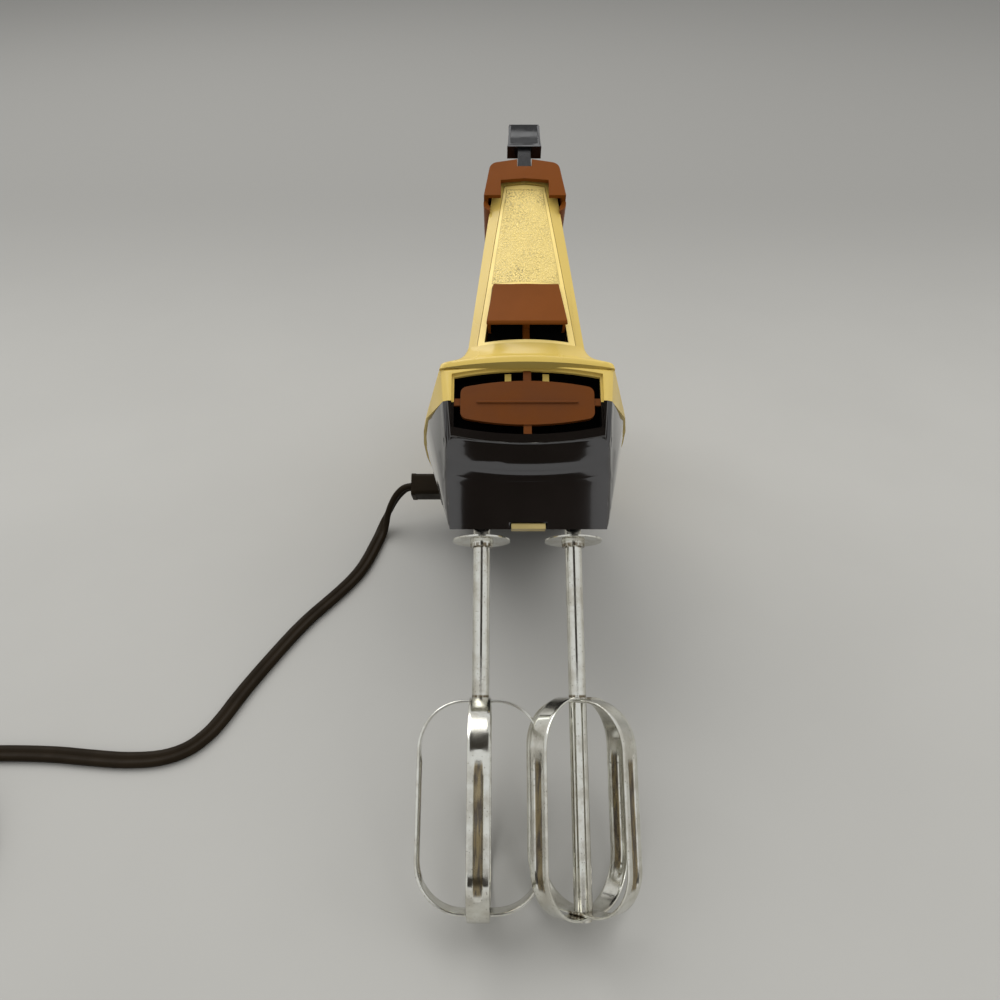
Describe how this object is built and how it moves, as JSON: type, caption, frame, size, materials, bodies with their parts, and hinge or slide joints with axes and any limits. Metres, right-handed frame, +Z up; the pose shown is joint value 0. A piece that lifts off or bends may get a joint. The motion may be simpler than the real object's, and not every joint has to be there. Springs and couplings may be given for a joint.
{
  "type": "hand mixer",
  "caption": "Electric hand mixer with twin beaters, ejector button, speed lever, hollow grip and coiled flat lead, laid down on its heel.",
  "frame": {"origin": "centre of the bounding box of the mixer without its lead, at the table's level", "axes": "+Z up from the table; the mixer lies on its heel and one beater's tip, beaters towards -Y and grip towards +Y; +X to its right as its nose is faced"},
  "size_m": [0.3493, 0.3552, 0.193],
  "materials": {
    "gold_enamel": "glossy stoved enamel, harvest gold",
    "gold_grained": "pebble-grained pale gold plastic with worn grain tips",
    "dark_gloss": "glossy near-black brown moulding",
    "brown_gloss": "glossy tan-brown moulding",
    "black_plastic": "black moulding",
    "steel": "plain bright steel",
    "yellow_zinc": "yellow-passivated casting",
    "chrome": "bright plated steel with light wear",
    "bronze": "bronze and brass",
    "copper": "enamelled copper",
    "nylon": "natural nylon",
    "cord_olive": "olive-brown flexible vinyl"
  },
  "bodies": {
    "housing": {"upper_shell": "gold_enamel", "lower_shell": "dark_gloss", "housing_screws": "steel", "grille_badge": "brown_gloss", "handle_panel": "gold_grained", "grip_left": "brown_gloss", "grip_right": "brown_gloss", "grip_screws": "steel", "inlet_socket": "black_plastic", "inlet_pins": "bronze", "gear_frame": "yellow_zinc", "spindle_bushes": "bronze", "front_bearing": "bronze", "rear_bracket": "steel", "rear_bearing": "bronze", "stator_core": "steel", "field_coils": "copper", "brush_holders": "bronze", "carbon_brushes": "black_plastic", "ejector_spring": "steel", "lever_pin": "steel", "speed_switch": "black_plastic", "cord_connector": "cord_olive", "cord_strain_relief": "cord_olive", "cord_run": "cord_olive", "cord_coil": "cord_olive", "plug_body": "cord_olive", "plug_blades": "bronze"},
    "motor": {"motor_shaft": "steel", "armature_core": "steel", "armature_windings": "copper", "commutator": "copper", "cooling_fan": "nylon"},
    "gear_left": {"gear_left": "nylon"},
    "gear_right": {"gear_right": "nylon"},
    "beater_left": {"beater_left_shaft": "chrome", "beater_left_disc": "chrome", "beater_left_loop_outer": "chrome", "beater_left_loop_inner": "chrome"},
    "beater_right": {"beater_right_shaft": "chrome", "beater_right_disc": "chrome", "beater_right_loop_outer": "chrome", "beater_right_loop_inner": "chrome"},
    "ejector": {"ejector_button": "brown_gloss", "ejector_rod": "steel", "ejector_yoke": "steel"},
    "speed_lever": {"speed_lever": "black_plastic", "lever_knob": "black_plastic"}
  },
  "joints": [
    {"name": "motor_spin", "type": "hinge", "parent": "housing", "child": "motor", "pos_m": [0, -0.01999, 0.09911], "axis": [0, 0.7105, -0.7037], "continuous": true},
    {"name": "gear_left_spin", "type": "hinge", "parent": "housing", "child": "gear_left", "pos_m": [-0.018, -0.04412, 0.08375], "axis": [0, 0.8436, 0.5369], "continuous": true},
    {"name": "gear_right_spin", "type": "hinge", "parent": "housing", "child": "gear_right", "pos_m": [0.018, -0.04412, 0.08375], "axis": [0, 0.8436, 0.5369], "continuous": true},
    {"name": "ejector_press", "type": "slide", "parent": "housing", "child": "ejector", "axis": [0, -0.8436, -0.5369], "range_m": [0, 0.006], "stiffness_N_per_m": 800, "springref_m": -0.002, "deforming": ["ejector_spring"]},
    {"name": "beater_left_eject", "type": "slide", "parent": "gear_left", "child": "beater_left", "axis": [0, -0.8436, -0.5369], "range_m": [0, 0.006]},
    {"name": "beater_right_eject", "type": "slide", "parent": "gear_right", "child": "beater_right", "axis": [0, -0.8436, -0.5369], "range_m": [0, 0.006]},
    {"name": "speed_lever_swing", "type": "hinge", "parent": "housing", "child": "speed_lever", "pos_m": [0, 0.08626, 0.16198], "axis": [-1, 0, 0], "range_deg": [0, 28]}
  ],
  "couplings": [
    {"joint": "gear_left_spin", "follows": "motor_spin", "ratio": 0.055556},
    {"joint": "gear_right_spin", "follows": "motor_spin", "ratio": -0.055556},
    {"joint": "beater_left_eject", "follows": "ejector_press", "ratio": 1},
    {"joint": "beater_right_eject", "follows": "ejector_press", "ratio": 1}
  ]
}
